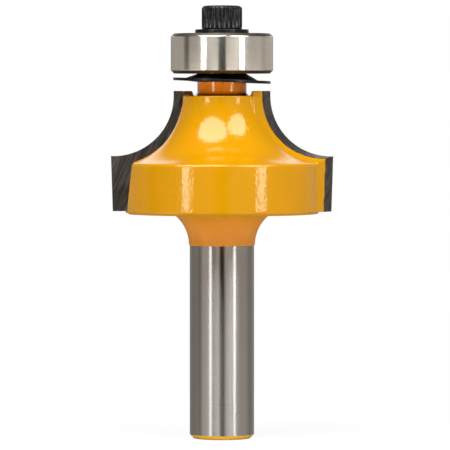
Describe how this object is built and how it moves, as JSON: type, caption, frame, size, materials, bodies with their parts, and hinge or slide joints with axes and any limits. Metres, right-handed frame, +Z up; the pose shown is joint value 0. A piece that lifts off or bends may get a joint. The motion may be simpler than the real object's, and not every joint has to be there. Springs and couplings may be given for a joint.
{
  "type": "round-over router bit",
  "caption": "Round-over router bit with carbide tips on a painted anti-kickback body, a ground shank and a ball-bearing guide held by a knurled socket screw.",
  "frame": {"origin": "centre of the shank's end face", "axes": "+Z up along the axis from the shank's end to the bearing, +X through one cutting tip"},
  "size_m": [0.0276, 0.0244, 0.0537],
  "materials": {
    "orange_paint": "glossy baked paint on steel",
    "carbide": "ground tungsten carbide, dark grey",
    "black_oxide": "black oxide on steel, satin",
    "bearing_steel": "ground and polished steel",
    "pressed_steel": "bright pressed steel sheet"
  },
  "bodies": {
    "cutter": {"cutter_body": "orange_paint", "carbide_tip_1": "carbide", "carbide_tip_2": "carbide", "dust_shield": "black_oxide", "bearing_inner_ring": "bearing_steel", "head_washer": "black_oxide", "bearing_screw": "black_oxide"},
    "guide_ring": {"bearing_outer_ring": "bearing_steel", "bearing_shield_lower": "pressed_steel", "bearing_shield_upper": "pressed_steel", "snap_ring_lower": "pressed_steel", "snap_ring_upper": "pressed_steel"},
    "cage": {"bearing_cage_lower": "pressed_steel", "bearing_cage_upper": "pressed_steel"},
    "ball_1": {"bearing_ball_1": "bearing_steel"},
    "ball_2": {"bearing_ball_2": "bearing_steel"},
    "ball_3": {"bearing_ball_3": "bearing_steel"},
    "ball_4": {"bearing_ball_4": "bearing_steel"},
    "ball_5": {"bearing_ball_5": "bearing_steel"},
    "ball_6": {"bearing_ball_6": "bearing_steel"},
    "ball_7": {"bearing_ball_7": "bearing_steel"}
  },
  "joints": [
    {"name": "guide_spin", "type": "hinge", "parent": "cutter", "child": "guide_ring", "pos_m": [0, 0, 0.04778], "axis": [0, 0, 1], "continuous": true},
    {"name": "cage_orbit", "type": "hinge", "parent": "cutter", "child": "cage", "pos_m": [0, 0, 0.04778], "axis": [0, 0, 1], "continuous": true},
    {"name": "ball_1_roll", "type": "hinge", "parent": "cage", "child": "ball_1", "pos_m": [0.00436, 0, 0.04778], "axis": [0, 0, 1], "continuous": true},
    {"name": "ball_2_roll", "type": "hinge", "parent": "cage", "child": "ball_2", "pos_m": [0.00272, 0.00341, 0.04778], "axis": [0, 0, 1], "continuous": true},
    {"name": "ball_3_roll", "type": "hinge", "parent": "cage", "child": "ball_3", "pos_m": [-0.00097, 0.00426, 0.04778], "axis": [0, 0, 1], "continuous": true},
    {"name": "ball_4_roll", "type": "hinge", "parent": "cage", "child": "ball_4", "pos_m": [-0.00393, 0.00189, 0.04778], "axis": [0, 0, 1], "continuous": true},
    {"name": "ball_5_roll", "type": "hinge", "parent": "cage", "child": "ball_5", "pos_m": [-0.00393, -0.00189, 0.04778], "axis": [0, 0, 1], "continuous": true},
    {"name": "ball_6_roll", "type": "hinge", "parent": "cage", "child": "ball_6", "pos_m": [-0.00097, -0.00426, 0.04778], "axis": [0, 0, 1], "continuous": true},
    {"name": "ball_7_roll", "type": "hinge", "parent": "cage", "child": "ball_7", "pos_m": [0.00272, -0.00341, 0.04778], "axis": [0, 0, 1], "continuous": true}
  ],
  "couplings": [
    {"joint": "cage_orbit", "follows": "guide_spin", "ratio": 0.63637},
    {"joint": "ball_1_roll", "follows": "guide_spin", "ratio": 1.6969},
    {"joint": "ball_2_roll", "follows": "guide_spin", "ratio": 1.6969},
    {"joint": "ball_3_roll", "follows": "guide_spin", "ratio": 1.6969},
    {"joint": "ball_4_roll", "follows": "guide_spin", "ratio": 1.6969},
    {"joint": "ball_5_roll", "follows": "guide_spin", "ratio": 1.6969},
    {"joint": "ball_6_roll", "follows": "guide_spin", "ratio": 1.6969},
    {"joint": "ball_7_roll", "follows": "guide_spin", "ratio": 1.6969}
  ]
}
